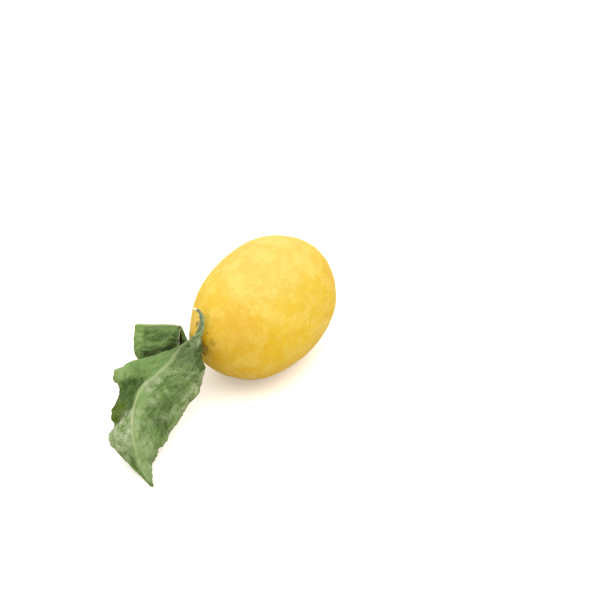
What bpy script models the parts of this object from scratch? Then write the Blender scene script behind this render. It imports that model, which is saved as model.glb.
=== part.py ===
"""A picked lemon lying on its side, with its calyx, a short stem and two dried, folded leaves.

The fruit's long axis runs along X, with the stem end at -X and the nipple at +X. The small flat
spot that it rests on is centred on the origin, at z = 0. Lengths are in metres.
"""

from collections import namedtuple
from math import cos, exp, hypot, pi, sin

import bmesh
import bpy
from mathutils import Matrix, Vector, noise

MM = 0.001

# Fruit
FRUIT_DIAMETER = 0.0600
STEM_HALF = 0.0415  # widest place to the stem end
BLOSSOM_HALF = 0.0405  # widest place to the end of the body, without the nipple
BLOSSOM_FULLNESS = 0.035  # how much fuller than an ellipsoid the blossom end is, as a share
NIPPLE_LENGTH = 0.0046
NIPPLE_RADIUS = 0.0072
NIPPLE_TILT = 0.0012  # the nipple's tip lies this far to one side
NECK_SHIFT = 0.0064  # the stem end lies this far to the +Y side of the axis
NECK_RISE = 0.0038  # and this far above it
NECK_POWER = 8  # how close to the stem end the neck starts
HOLLOW_DEPTH = 0.0009  # the shallow hollow that the calyx sits in
HOLLOW_RADIUS = 0.0052
LUMP_HEIGHT = 0.0005
LUMP_SIZE = 0.017
FLAT_DEPTH = 0.0006  # how far the belly is pressed flat
FRUIT_SEGMENTS = 64
FRUIT_RINGS = 44

# Calyx and stem
CALYX_RADIUS = 0.0037
CALYX_LOBE = 0.0008  # a lobe reaches this far beyond the radius, and a notch this far inside it
CALYX_LOBES = 5
CALYX_HEIGHT = 0.0012
CALYX_STEPS = 40
STEM_RADIUS = 0.00115
STEM_TIP_SHARE = 0.52  # the stem's tip is this much of its radius
STEM_STEPS = 4  # from one point of the stem's path to the next

# Leaves
FRONT_LEAF_LENGTH = 0.094  # along the midrib, with the petiole
REAR_LEAF_LENGTH = 0.062
PETIOLE_RADIUS = 0.00085
LEAF_THICKNESS = 0.00045
RIB_HEIGHT = 0.00050  # the midrib stands this far out of the underside
RIB_RADIUS = 0.0009
STEPS_PER_ROW = 3
OUTER_COLUMNS = 5
RIB_COLUMNS = ((0.8, 0.30), (1.9, 0.60))  # beside the rib: in rib radii, at most a share of the width
PETIOLE_ROWS = 3  # over this many rows the round petiole turns into the flat blade
SLOPE_STEP = 0.1  # in rows, to find the way that the midrib runs

GAP = 0.0003  # between pieces that touch

AXIS_HEIGHT = FRUIT_DIAMETER / 2 - FLAT_DEPTH
CALYX_SEAT = GAP + HOLLOW_DEPTH / 4  # the calyx spans the hollow, so it sits this far out of it

Row = namedtuple("Row", "mid left right bulge_left bulge_right")

# One row is a cross-section of a leaf, from its foot to its tip: where the midrib, the left edge
# and the right edge are, and how far each half bulges out. Millimetres; x and y from the foot,
# z from the ground. Left and right are as seen from the underside, with the tip down.
FRONT_LEAF = (
    Row((0.0, 0.0, 50.2), None, None, 0.0, 0.0),
    Row((-4.7, -3.6, 47.0), None, None, 0.0, 0.0),
    Row((-11.3, -1.9, 45.0), (-12.0, -0.8, 43.2), (-6.6, -4.8, 40.8), 0.2, 0.8),
    Row((-18.0, -0.1, 42.6), (-20.9, 6.7, 38.0), (-9.2, -5.8, 34.0), 1.0, 2.0),
    Row((-25.4, 0.1, 39.7), (-30.7, 26.3, 25.0), (-10.4, -8.6, 28.0), 3.2, 3.5),
    Row((-33.6, 2.4, 36.3), (-36.1, 24.1, 21.0), (-14.6, -9.6, 23.0), 2.7, 4.5),
    Row((-40.3, 4.2, 33.5), (-39.8, 20.0, 18.0), (-18.9, -9.9, 19.0), 3.5, 5.0),
    Row((-46.3, 3.8, 29.5), (-47.0, 18.4, 14.5), (-25.5, -8.5, 15.0), 2.5, 4.5),
    Row((-50.4, 2.3, 25.5), (-51.2, 13.7, 11.0), (-32.5, -8.8, 12.0), 1.5, 3.5),
    Row((-54.1, -0.1, 21.0), (-58.1, 9.7, 14.0), (-41.0, -9.4, 8.5), 1.5, 2.5),
    Row((-58.0, -4.5, 14.5), (-60.3, 5.7, 9.0), (-49.6, -9.7, 5.5), 1.2, 1.5),
    Row((-61.2, -10.3, 7.5), (-61.3, -4.6, 5.0), (-57.5, -13.0, 3.2), 0.5, 0.5),
    Row((-62.6, -17.2, 0.7), (-62.8, -16.9, 0.7), (-62.4, -17.5, 0.7), 0.0, 0.0),
)
REAR_LEAF = (
    Row((0.0, 0.0, 34.8), None, None, 0.0, 0.0),
    Row((0.7, 1.6, 34.4), None, None, 0.0, 0.0),
    Row((1.0, 3.2, 34.8), (2.2, 4.2, 31.0), (0.6, 3.8, 33.8), 0.3, 0.0),
    Row((3.0, 6.7, 36.3), (5.2, 9.8, 23.0), (1.8, 6.6, 34.8), 0.6, 0.0),
    Row((4.9, 9.9, 37.0), (8.6, 17.1, 15.5), (3.9, 9.2, 35.4), 1.5, 0.0),
    Row((4.5, 11.2, 37.0), (8.8, 19.4, 14.0), (0.0, 8.1, 25.7), 2.0, 1.8),
    Row((3.9, 13.2, 37.0), (8.9, 22.6, 13.0), (-2.4, 9.3, 22.0), 2.8, 3.5),
    Row((1.5, 18.5, 36.0), (8.1, 27.7, 12.0), (-5.9, 15.7, 17.0), 3.2, 4.0),
    Row((-0.4, 24.2, 34.2), (7.3, 33.3, 10.0), (-8.3, 21.8, 14.0), 2.2, 3.2),
    Row((-1.9, 30.6, 31.8), (6.3, 37.0, 8.0), (-7.0, 27.1, 13.0), 1.4, 1.8),
    Row((-0.7, 32.5, 24.0), (5.8, 38.0, 5.0), (-3.0, 31.0, 10.0), 0.9, 0.7),
    Row((2.0, 35.9, 13.0), (5.9, 38.9, 3.0), (1.5, 35.5, 6.0), 1.0, 0.8),
    Row((6.7, 39.1, 0.7), (6.9, 38.9, 0.7), (6.4, 39.2, 0.7), 0.0, 0.0),
)
FRONT_LEAF_NOMINAL = 94 * MM  # the length that the rows above are drawn at
REAR_LEAF_NOMINAL = 62 * MM

# The stem's path from the calyx, in millimetres: it bends up over the shoulder of the fruit, and
# a thicker fruit, whose shoulder is flatter, spreads it out.
STEM_PATH_NOMINAL = 60 * MM  # the fruit's diameter that the path is drawn for
STEM_PATH = (
    (-4.2, 1.3, 0.8),
    (-3.4, 0.3, 6.3),
    (0.4, 0.4, 11.4),
    (4.2, 2.0, 15.0),
    (5.5, 5.0, 16.1),
    (5.7, 8.2, 15.6),
)
REAR_LEAF_NODE = 0  # the point of the path that each leaf grows from
FRONT_LEAF_NODE = 3
REAR_LEAF_SIDE = Vector((0.40, 0.85, 0.35))
FRONT_LEAF_SIDE = Vector((-0.10, -0.27, 0.96))


def clear_scene():
    for obj in list(bpy.data.objects):
        bpy.data.objects.remove(obj, do_unlink=True)


def material(name, colour, roughness):
    made = bpy.data.materials.new(name)
    made.use_nodes = True
    shader = made.node_tree.nodes["Principled BSDF"]
    shader.inputs["Base Color"].default_value = (*colour, 1.0)
    shader.inputs["Roughness"].default_value = roughness
    shader.inputs["Metallic"].default_value = 0.0
    made.diffuse_color = (*colour, 1.0)
    return made


def add_object(name, mesh, finish):
    mesh.materials.append(finish)
    obj = bpy.data.objects.new(name, mesh)
    bpy.context.scene.collection.objects.link(obj)
    return obj


def shade_smooth(mesh):
    mesh.polygons.foreach_set("use_smooth", [True] * len(mesh.polygons))


def skin(name, rings, finish):
    """A closed mesh through a row of rings with equally many points, capped at both ends."""
    bm = bmesh.new()
    loops = [[bm.verts.new(point) for point in ring] for ring in rings]
    for near, far in zip(loops, loops[1:]):
        for i in range(len(near)):
            after = (i + 1) % len(near)
            bm.faces.new((near[i], near[after], far[after], far[i]))
    bm.faces.new(tuple(reversed(loops[0])))
    bm.faces.new(loops[-1])
    bmesh.ops.recalc_face_normals(bm, faces=bm.faces)
    mesh = bpy.data.meshes.new(name)
    bm.to_mesh(mesh)
    bm.free()
    shade_smooth(mesh)
    return add_object(name, mesh, finish)


def smooth_between(values, place):
    """Catmull-Rom interpolation through a list of vectors; place counts in list steps."""
    first = min(int(place), len(values) - 2)
    t = place - first
    b, c = values[first], values[first + 1]
    a = values[first - 1] if first > 0 else b * 2 - c
    d = values[first + 2] if first + 2 < len(values) else c * 2 - b
    return (
        b * 2
        + (c - a) * t
        + (a * 2 - b * 5 + c * 4 - d) * t**2
        + (b * 3 - a - c * 3 + d) * t**3
    ) / 2


# ---------------------------------------------------------------- fruit


def fruit_point(way):
    """The point of the skin in the direction of a unit vector, from the middle of the fruit."""
    radius = FRUIT_DIAMETER / 2
    half = STEM_HALF if way.x < 0 else BLOSSOM_HALF
    if way.x > 0:
        radius *= 1 + 4 * BLOSSOM_FULLNESS * way.x**2 * (1 - way.x**2)
    point = Vector((half * way.x, radius * way.y, radius * way.z))
    from_axis = hypot(way.y, way.z) * radius
    if way.x > 0:
        rise = exp(-((from_axis / NIPPLE_RADIUS) ** 2))
        point.x += NIPPLE_LENGTH * rise
        point.y += NIPPLE_TILT * rise
    else:
        neck = (-way.x) ** NECK_POWER
        point.y += NECK_SHIFT * neck
        point.z += NECK_RISE * neck
        point.x += HOLLOW_DEPTH * exp(-((from_axis / HOLLOW_RADIUS) ** 2))
    return point + way * (LUMP_HEIGHT * noise.noise(point / LUMP_SIZE))


def fruit_end():
    """Where the calyx sits, in world coordinates, and the way out of the fruit there."""
    step = 0.12
    end = fruit_point(Vector((-1, 0, 0)))
    sides = [
        fruit_point(Vector((-1, step * y, step * z)).normalized())
        for y, z in ((1, 0), (-1, 0), (0, 1), (0, -1))
    ]
    out = (sides[1] - sides[0]).cross(sides[3] - sides[2])
    if out.x > 0:
        out.negate()
    return end + Vector((0, 0, AXIS_HEIGHT)), out.normalized()


def add_fruit(finish):
    bm = bmesh.new()
    bmesh.ops.create_uvsphere(
        bm, u_segments=FRUIT_SEGMENTS, v_segments=FRUIT_RINGS, radius=1.0
    )
    for vert in bm.verts:
        x, y, z = vert.co
        vert.co = fruit_point(Vector((z, y, -x)))
    belly = bmesh.ops.bisect_plane(
        bm,
        geom=bm.verts[:] + bm.edges[:] + bm.faces[:],
        plane_co=(0, 0, -AXIS_HEIGHT),
        plane_no=(0, 0, 1),
        clear_inner=True,
    )
    rim = [edge for edge in belly["geom_cut"] if isinstance(edge, bmesh.types.BMEdge)]
    flat = bmesh.ops.contextual_create(bm, geom=rim)
    bmesh.ops.recalc_face_normals(bm, faces=bm.faces)
    mesh = bpy.data.meshes.new("fruit")
    for face in bm.faces:
        face.smooth = face not in flat["faces"]
    bm.to_mesh(mesh)
    bm.free()
    fruit = add_object("fruit", mesh, finish)
    fruit.location = (0, 0, AXIS_HEIGHT)
    return fruit


# ---------------------------------------------------------------- calyx and stem


def star_ring(radius, height, depth):
    """One ring of the calyx: a circle with lobes of the given depth."""
    ring = []
    for i in range(CALYX_STEPS):
        angle = 2 * pi * i / CALYX_STEPS
        reach = radius + depth * cos(CALYX_LOBES * angle)
        ring.append(Vector((reach * cos(angle), reach * sin(angle), height)))
    return ring


def add_calyx(finish, end, out):
    hub = STEM_RADIUS * 1.35
    rings = (
        star_ring(CALYX_RADIUS * 0.90, 0.0, CALYX_LOBE * 0.9),
        star_ring(CALYX_RADIUS, CALYX_HEIGHT * 0.22, CALYX_LOBE),
        star_ring(CALYX_RADIUS * 0.92, CALYX_HEIGHT * 0.48, CALYX_LOBE * 0.8),
        star_ring(CALYX_RADIUS * 0.66, CALYX_HEIGHT * 0.72, CALYX_LOBE * 0.4),
        star_ring(hub * 1.15, CALYX_HEIGHT * 0.90, 0.0),
        star_ring(hub, CALYX_HEIGHT, 0.0),
    )
    calyx = skin("calyx", rings, finish)
    turn = Vector((0, 0, 1)).rotation_difference(out)
    calyx.matrix_world = (
        Matrix.Translation(end + out * CALYX_SEAT)
        @ turn.to_matrix().to_4x4()
    )
    return calyx


def stem_points(end, out):
    """The stem's path in world coordinates, starting square on the calyx, a gap above it."""
    spread = FRUIT_DIAMETER / STEM_PATH_NOMINAL
    start = end + out * (GAP + CALYX_SEAT + CALYX_HEIGHT)
    path = [end + Vector((x, y * spread, z * spread)) * MM for x, y, z in STEM_PATH]
    return [start, start + out * STEM_RADIUS, *path]


def stem_radius(share):
    return STEM_RADIUS * (1 - (1 - STEM_TIP_SHARE) * share)


def add_stem(finish, points):
    curve = bpy.data.curves.new("stem", "CURVE")
    curve.dimensions = "3D"
    curve.bevel_depth = STEM_RADIUS
    curve.bevel_resolution = 4
    curve.use_fill_caps = True
    spline = curve.splines.new("POLY")
    steps = (len(points) - 1) * STEM_STEPS
    spline.points.add(steps)
    for i, knot in enumerate(spline.points):
        knot.co = (*smooth_between(points, i / STEM_STEPS), 1.0)
        knot.radius = stem_radius(i / steps) / STEM_RADIUS
    curve.materials.append(finish)
    stem = bpy.data.objects.new("stem", curve)
    bpy.context.scene.collection.objects.link(stem)
    return stem


# ---------------------------------------------------------------- leaves


def leaf_foot(points, node, side):
    """Where a petiole starts: beside the stem, a gap away from it."""
    place = len(points) - len(STEM_PATH) + node
    reach = stem_radius(place / (len(points) - 1)) + PETIOLE_RADIUS + GAP
    return points[place] + side.normalized() * reach


def leaf_rails(rows, foot, stretch):
    """The midrib, left edge and right edge of each row in world coordinates, and its bulges."""
    lift = foot.z / (rows[0].mid[2] * MM)

    def place(point):
        x, y, z = point
        return Vector((foot.x + x * MM * stretch, foot.y + y * MM * stretch, z * MM * lift))

    blade = rows[2]
    side = (place(blade.right) - place(blade.left)).normalized() * PETIOLE_RADIUS
    mids = [place(row.mid) for row in rows]
    lefts = [place(row.left) if row.left else place(row.mid) - side for row in rows]
    rights = [place(row.right) if row.right else place(row.mid) + side for row in rows]
    bulges = [Vector((row.bulge_left, row.bulge_right)) * MM * stretch for row in rows]
    return mids, lefts, rights, bulges


def columns(width):
    """How far out from the midrib the columns of a half leaf lie, as shares of its width."""
    near, next_one = (min(radii * RIB_RADIUS / width, most) for radii, most in RIB_COLUMNS)
    rest = [next_one + (1 - next_one) * i / OUTER_COLUMNS for i in range(1, OUTER_COLUMNS + 1)]
    return [near, next_one, *rest]


def half_row(mid, edge, along, bulge, sign):
    """The points of one half of a cross-section, from the midrib out, without the midrib."""
    chord = edge - mid
    out = along.cross(chord).normalized() * sign
    points = []
    for share in columns(chord.length):
        points.append(mid + chord * share + out * (4 * bulge * share * (1 - share)))
    return points


def leaf_surface(rails):
    """The leaf's middle surface as rows of points, from the left edge to the right edge."""
    mids, lefts, rights, bulges = rails
    surface = []
    steps = (len(mids) - 1) * STEPS_PER_ROW
    for i in range(steps + 1):
        place = i / STEPS_PER_ROW
        mid = smooth_between(mids, place)
        ahead = smooth_between(mids, min(place + SLOPE_STEP, len(mids) - 1))
        behind = smooth_between(mids, max(place - SLOPE_STEP, 0))
        along = (ahead - behind).normalized()
        bulge = smooth_between(bulges, place)
        left = half_row(mid, smooth_between(lefts, place), along, bulge[0], -1)
        right = half_row(mid, smooth_between(rights, place), along, bulge[1], 1)
        surface.append(list(reversed(left)) + [mid] + right)
    return surface


def surface_normal(surface, i, j):
    """The way out of the leaf's underside at one point of its middle surface."""
    rows, across = len(surface), len(surface[0])
    along = surface[min(i + 1, rows - 1)][j] - surface[max(i - 1, 0)][j]
    over = surface[i][min(j + 1, across - 1)] - surface[i][max(j - 1, 0)]
    return along.cross(over).normalized()


def leaf_ring(surface, i, petiole_share):
    """The closed outline of one cross-section: the underside, then back along the upper side."""
    middle = len(surface[i]) // 2
    under, upper = [], []
    for j, point in enumerate(surface[i]):
        normal = surface_normal(surface, i, j)
        distance = (point - surface[i][middle]).length
        ridge = exp(-((distance / RIB_RADIUS) ** 2))
        below = LEAF_THICKNESS / 2 + ridge * RIB_HEIGHT
        above = LEAF_THICKNESS / 2 + ridge * RIB_HEIGHT * petiole_share
        under.append(point + normal * below)
        upper.append(point - normal * above)
    return under + upper[::-1]


def add_leaf(name, finish, rows, foot, stretch):
    surface = leaf_surface(leaf_rails(rows, foot, stretch))
    rings = []
    for i in range(len(surface)):
        petiole_share = max(0.0, 1 - i / (PETIOLE_ROWS * STEPS_PER_ROW))
        rings.append(leaf_ring(surface, i, petiole_share))
    return skin(name, rings, finish)


def main():
    clear_scene()
    peel = material("lemon_peel", (0.86, 0.58, 0.09), 0.42)
    wood = material("dry_wood", (0.27, 0.29, 0.17), 0.75)
    button = material("dry_calyx", (0.28, 0.24, 0.10), 0.80)
    green = material("dry_leaf", (0.16, 0.25, 0.09), 0.65)

    add_fruit(peel)
    end, out = fruit_end()
    add_calyx(button, end, out)
    points = stem_points(end, out)
    add_stem(wood, points)
    front_foot = leaf_foot(points, FRONT_LEAF_NODE, FRONT_LEAF_SIDE)
    rear_foot = leaf_foot(points, REAR_LEAF_NODE, REAR_LEAF_SIDE)
    add_leaf("leaf_front", green, FRONT_LEAF, front_foot, FRONT_LEAF_LENGTH / FRONT_LEAF_NOMINAL)
    add_leaf("leaf_rear", green, REAR_LEAF, rear_foot, REAR_LEAF_LENGTH / REAR_LEAF_NOMINAL)


main()
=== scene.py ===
"""The looks of a picked lemon: its peel, calyx and stem, and its two dried, folded leaves.

Everything is in metres in the frame of the solid model: the fruit's long axis runs along X, with
the stem end at -X, and it rests at z = 0. Each fine piece has the shape of the solid that it
stands for and adds the relief that is too small for the solid; the fruit and the leaves are
also fitted to their solids' boxes.
"""

import logging
from dataclasses import dataclass, field
from enum import Enum
from math import cos, hypot, pi, radians, sin
from typing import Callable, Mapping, Sequence

import bpy
import numpy as np
from mathutils import Matrix, Vector, noise


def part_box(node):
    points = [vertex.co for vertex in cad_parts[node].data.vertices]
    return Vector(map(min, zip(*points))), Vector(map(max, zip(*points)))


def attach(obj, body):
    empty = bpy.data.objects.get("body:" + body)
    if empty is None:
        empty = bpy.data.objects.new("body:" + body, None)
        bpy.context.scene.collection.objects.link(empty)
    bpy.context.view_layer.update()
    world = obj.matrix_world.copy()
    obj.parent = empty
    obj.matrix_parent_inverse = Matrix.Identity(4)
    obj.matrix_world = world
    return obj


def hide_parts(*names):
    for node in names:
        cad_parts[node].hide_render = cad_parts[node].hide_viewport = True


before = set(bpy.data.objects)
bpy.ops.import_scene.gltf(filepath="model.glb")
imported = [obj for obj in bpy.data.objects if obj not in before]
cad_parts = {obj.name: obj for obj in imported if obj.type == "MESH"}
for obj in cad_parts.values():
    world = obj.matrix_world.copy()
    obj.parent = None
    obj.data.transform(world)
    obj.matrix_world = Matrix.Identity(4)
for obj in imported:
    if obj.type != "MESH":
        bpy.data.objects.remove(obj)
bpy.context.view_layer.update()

MM = 0.001
WELD = 1e-7  # vertices closer than this are one
LOG = logging.getLogger("lemon")

Colour = tuple[float, float, float]
Point = tuple[float, float, float]
Array = np.ndarray
Piece = bpy.types.Object
Material = bpy.types.Material
Socket = bpy.types.NodeSocket


def srgb(red: int, green: int, blue: int) -> Colour:
    """Turns a colour in the usual 0 to 255 steps into the shader's linear values."""

    def linear(step: int) -> float:
        """One channel."""
        share = step / 255
        return share / 12.92 if share <= 0.04045 else ((share + 0.055) / 1.055) ** 2.4

    return linear(red), linear(green), linear(blue)


def smooth_step(values: Array, start: float, end: float) -> Array:
    """Rises smoothly from 0 at start to 1 at end, or falls if end is below start."""
    share = np.clip((values - start) / (end - start), 0.0, 1.0)
    return share * share * (3 - 2 * share)


def bell(values: Array, centre: float, width: float) -> Array:
    """A smooth bump of height 1 round centre."""
    return np.exp(-(((values - centre) / width) ** 2))


def unit(vectors: Array) -> Array:
    """Vectors brought to a length of 1, along the last axis."""
    return vectors / np.maximum(np.linalg.norm(vectors, axis=-1, keepdims=True), 1e-12)


def smooth_through(values: Array, places: Array) -> Array:
    """Catmull-Rom interpolation through the rows of an array.

    Args:
        values: One row for each knot.
        places: Where to read the curve, counted in knots.

    Returns:
        One row for each place.
    """
    ends = (2 * values[:1] - values[1:2], values, 2 * values[-1:] - values[-2:-1])
    knots = np.concatenate(ends)
    first = np.clip(places.astype(int), 0, len(values) - 2)
    t = (places - first)[:, None]
    a, b, c, d = (knots[first + k] for k in range(4))
    bend = (2 * a - 5 * b + 4 * c - d) * t**2 + (3 * b - a - 3 * c + d) * t**3
    return (2 * b + (c - a) * t + bend) / 2


def noise_at(points: Array, size: float, seed: float = 0.0) -> Array:
    """Smooth noise, about -1 to 1, whose blobs are about the given size across."""
    flat = points.reshape(-1, 3) / size + seed
    made = np.fromiter((noise.noise(p) for p in flat.tolist()), float, len(flat))
    return made.reshape(points.shape[:-1])


def rough(points: Array, *layers: tuple[float, float, float]) -> Array:
    """Adds up layers of noise, each with its height and blob size in millimetres and a seed."""
    return sum(height * MM * noise_at(points, size * MM, seed) for height, size, seed in layers)


def pits_at(points: Array, size: float, steepness: float = 1.7) -> Array:
    """Small round pits in a natural packing: 1 in the middle of a pit and 0 between them."""
    flat = points.reshape(-1, 3) / size
    near = np.fromiter((noise.voronoi(p)[0][0] for p in flat.tolist()), float, len(flat))
    return np.clip(1 - near * steepness, 0.0, 1.0).reshape(points.shape[:-1])


def fit_to(points: Array, plain: Array, node: str) -> Array:
    """Moves points so that the plain shape that they follow fills the box of a solid.

    Args:
        points: The points to move.
        plain: The shape without its relief.
        node: The solid whose box is filled.

    Returns:
        The moved points.
    """
    low, high = (np.array(corner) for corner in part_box(node))
    own_low = plain.reshape(-1, 3).min(0)
    own_high = plain.reshape(-1, 3).max(0)
    return (points - own_low) / (own_high - own_low) * (high - low) + low


# ---- mesh making


def deselect() -> None:
    """Leaves nothing selected and nothing active, so that the next operator acts on its own piece."""
    bpy.ops.object.select_all(action="DESELECT")
    bpy.context.view_layer.objects.active = None


def active() -> Piece:
    """The piece that the last operator made."""
    return bpy.context.view_layer.objects.active


def edit(*steps: Callable[[], object]) -> None:
    """Runs mesh operators on the whole of the active piece in edit mode."""
    bpy.ops.object.mode_set(mode="EDIT")
    bpy.ops.mesh.select_all(action="SELECT")
    for step in steps:
        step()
    bpy.ops.object.mode_set(mode="OBJECT")


def points_of(mesh: bpy.types.Mesh) -> Array:
    """All vertex positions."""
    made = np.empty(len(mesh.vertices) * 3)
    mesh.vertices.foreach_get("co", made)
    return made.reshape(-1, 3)


def place(mesh: bpy.types.Mesh, points: Array) -> None:
    """Moves all vertices to the given positions."""
    mesh.vertices.foreach_set("co", points.reshape(-1))
    mesh.update()


def paint(mesh: bpy.types.Mesh, name: str, values: Array) -> None:
    """Stores one number for each vertex under a name that a material can read."""
    layer = mesh.attributes.new(name=name, type="FLOAT", domain="POINT")
    layer.data.foreach_set("value", values.reshape(-1))


def skin(name: str, rings: Array, painted: dict[str, Array]) -> Piece:
    """Wraps a grid round a row of rings and closes it at both ends.

    Args:
        name: The piece's name.
        rings: Points, as rings by points round a ring by 3.
        painted: For each attribute, one number for each of those points.

    Returns:
        The closed piece, with a UV map that runs along it (V) and round it (U).
    """
    count, around, _ = rings.shape
    wrapped = np.concatenate([rings, rings[:, :1]], axis=1)
    deselect()
    bpy.ops.mesh.primitive_grid_add(x_subdivisions=around, y_subdivisions=count - 1, size=1.0)
    piece = active()
    piece.name = piece.data.name = name
    flat = points_of(piece.data)
    column = np.rint((flat[:, 0] + 0.5) * around).astype(int)
    row = np.rint((flat[:, 1] + 0.5) * (count - 1)).astype(int)
    place(piece.data, wrapped[row, column])
    for label, values in painted.items():
        paint(piece.data, label, np.concatenate([values, values[:, :1]], axis=1)[row, column])
    edit(
        lambda: bpy.ops.mesh.remove_doubles(threshold=WELD),
        lambda: bpy.ops.mesh.select_all(action="DESELECT"),
        lambda: bpy.ops.mesh.select_non_manifold(),
        lambda: bpy.ops.mesh.fill_holes(sides=0),
        lambda: bpy.ops.mesh.select_all(action="SELECT"),
        lambda: bpy.ops.mesh.normals_make_consistent(inside=False),
    )
    bpy.ops.object.shade_smooth()
    return piece


def remap(piece: Piece, change: Callable[[Array], Array]) -> None:
    """Changes a piece's UV map and names it flat.

    Args:
        piece: The piece.
        change: Turns its UV places, one row for each, into the new ones.
    """
    layer = piece.data.uv_layers.active
    layer.name = "flat"
    uv = np.empty(len(layer.data) * 2)
    layer.data.foreach_get("uv", uv)
    layer.data.foreach_set("uv", change(uv.reshape(-1, 2)).reshape(-1))


def dress(piece: Piece, node: str, slot: str, *finishes: Material) -> None:
    """Gives a piece its materials, lets it stand for its solid, and logs it."""
    piece.data.materials.clear()
    for finish in finishes:
        piece.data.materials.append(finish)
    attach(piece, "root")
    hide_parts(node)
    LOG.info("%s: %d faces", piece.name, len(piece.data.polygons))


# ---- shader nodes


class Tree:
    """A node tree that is being wired up."""

    def __init__(self, tree: bpy.types.NodeTree) -> None:
        """Starts on an empty or a new tree."""
        self.tree = tree

    def set(self, socket: Socket, value: object) -> None:
        """Links an output to an input socket, or sets the input to a plain value."""
        if isinstance(value, Socket):
            self.tree.links.new(value, socket)
        elif isinstance(value, tuple) and socket.type == "RGBA":
            socket.default_value = (*value, 1.0)
        else:
            socket.default_value = value

    def add(self, kind: str, settings: dict[str, object] | None = None, **inputs: object) -> bpy.types.Node:
        """Adds a node.

        Args:
            kind: Blender's name for the node type.
            settings: Values of the node's own properties.
            inputs: Values or output sockets for its inputs; an underscore stands for a space, and
                a name such as in_2 for the input of that number.

        Returns:
            The node.
        """
        node = self.tree.nodes.new(kind)
        for name, value in (settings or {}).items():
            setattr(node, name, value)
        for name, value in inputs.items():
            number = name.removeprefix("in_")
            self.set(node.inputs[int(number) if number.isdigit() else name.replace("_", " ")], value)
        return node

    def use(self, group: bpy.types.NodeTree, **inputs: object) -> Socket:
        """Places a shared effect with its own values, and returns its socket out."""
        return self.add("ShaderNodeGroup", {"node_tree": group}, **inputs).outputs[0]

    def mix(self, share: object, first: object, second: object) -> Socket:
        """Mixes two colours."""
        settings = {"data_type": "RGBA"}
        return self.add("ShaderNodeMix", settings, Factor=share, in_6=first, in_7=second).outputs[2]

    def math(self, what: str, first: object, second: object) -> Socket:
        """Works out one number from two."""
        return self.add("ShaderNodeMath", {"operation": what}, in_0=first, in_1=second).outputs[0]

    def times(self, first: object, second: object) -> Socket:
        """Multiplies two numbers."""
        return self.math("MULTIPLY", first, second)

    def plus(self, first: object, second: object) -> Socket:
        """Adds two numbers."""
        return self.math("ADD", first, second)

    def ramp(self, value: object, start: object, end: object, low: float = 0.0, high: float = 1.0) -> Socket:
        """Maps start..end to low..high with soft ends."""
        settings = {"interpolation_type": "SMOOTHSTEP"}
        limits = {"From_Min": start, "From_Max": end, "To_Min": low, "To_Max": high}
        return self.add("ShaderNodeMapRange", settings, Value=value, **limits).outputs[0]

    def painted(self, name: str) -> Socket:
        """Reads a number that was painted on the vertices."""
        return self.add("ShaderNodeAttribute", {"attribute_name": name}).outputs["Fac"]


class Effects:
    """The node groups that the materials share, each built once."""

    def __init__(self) -> None:
        """Builds the groups."""
        self.blotch = self._group("blotch", self._blotch, Scale=100.0, Detail=3.0, From=0.4, To=0.6)
        self.speck = self._group("speck", self._speck, Scale=150.0, Size=0.2, Rarity=0.8)
        self.fibre = self._group("fibre", self._fibre, Scale=100.0, Stretch=6.0, Turn=0.0)

    @staticmethod
    def _group(name: str, wire: Callable[..., Socket], **inputs: float) -> bpy.types.NodeTree:
        """Makes a node group that takes a place and some numbers, and gives one number.

        Args:
            name: The group's name.
            wire: Wires its nodes, from the tree and its inputs by name, and returns the result.
            inputs: Its inputs besides the place, with their usual values.

        Returns:
            The group.
        """
        group = bpy.data.node_groups.new(name, "ShaderNodeTree")
        group.interface.new_socket("Vector", in_out="INPUT", socket_type="NodeSocketVector")
        for label, value in inputs.items():
            socket = group.interface.new_socket(label, in_out="INPUT", socket_type="NodeSocketFloat")
            socket.default_value = value
        group.interface.new_socket("Value", in_out="OUTPUT", socket_type="NodeSocketFloat")
        tree = Tree(group)
        given = tree.add("NodeGroupInput").outputs
        tree.set(tree.add("NodeGroupOutput").inputs["Value"], wire(tree, given))
        return group

    @staticmethod
    def _blotch(tree: Tree, given: Mapping[str, Socket]) -> Socket:
        """Soft blotches of natural colour: a mask from thresholded noise."""
        made = tree.add("ShaderNodeTexNoise", **{name: given[name] for name in ("Vector", "Scale", "Detail")})
        return tree.ramp(made.outputs[0], given["From"], given["To"])

    @staticmethod
    def _speck(tree: Tree, given: Mapping[str, Socket]) -> Socket:
        """Sparse small spots: a few cells of a cell pattern get a soft dot in their middle."""
        cell = tree.add("ShaderNodeTexVoronoi", Vector=given["Vector"], Scale=given["Scale"])
        dot = tree.math("SUBTRACT", 1.0, tree.math("DIVIDE", cell.outputs["Distance"], given["Size"]))
        red = tree.add("ShaderNodeSeparateColor", Color=cell.outputs["Color"]).outputs[0]
        return tree.times(tree.ramp(dot, 0.0, 0.6), tree.math("GREATER_THAN", red, given["Rarity"]))

    @staticmethod
    def _fibre(tree: Tree, given: Mapping[str, Socket]) -> Socket:
        """Fine streaks along one direction of a flattened surface."""
        turn = tree.add("ShaderNodeCombineXYZ", Z=given["Turn"]).outputs[0]
        turned = tree.add(
            "ShaderNodeVectorRotate", {"rotation_type": "EULER_XYZ"}, Vector=given["Vector"], Rotation=turn
        )
        size = tree.add("ShaderNodeCombineXYZ", X=given["Stretch"], Y=1.0, Z=1.0).outputs[0]
        drawn = tree.add("ShaderNodeVectorMath", {"operation": "MULTIPLY"}, in_0=turned.outputs[0], in_1=size)
        made = tree.add("ShaderNodeTexNoise", Vector=drawn.outputs[0], Scale=given["Scale"], Detail=4.0)
        return made.outputs[0]


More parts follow.
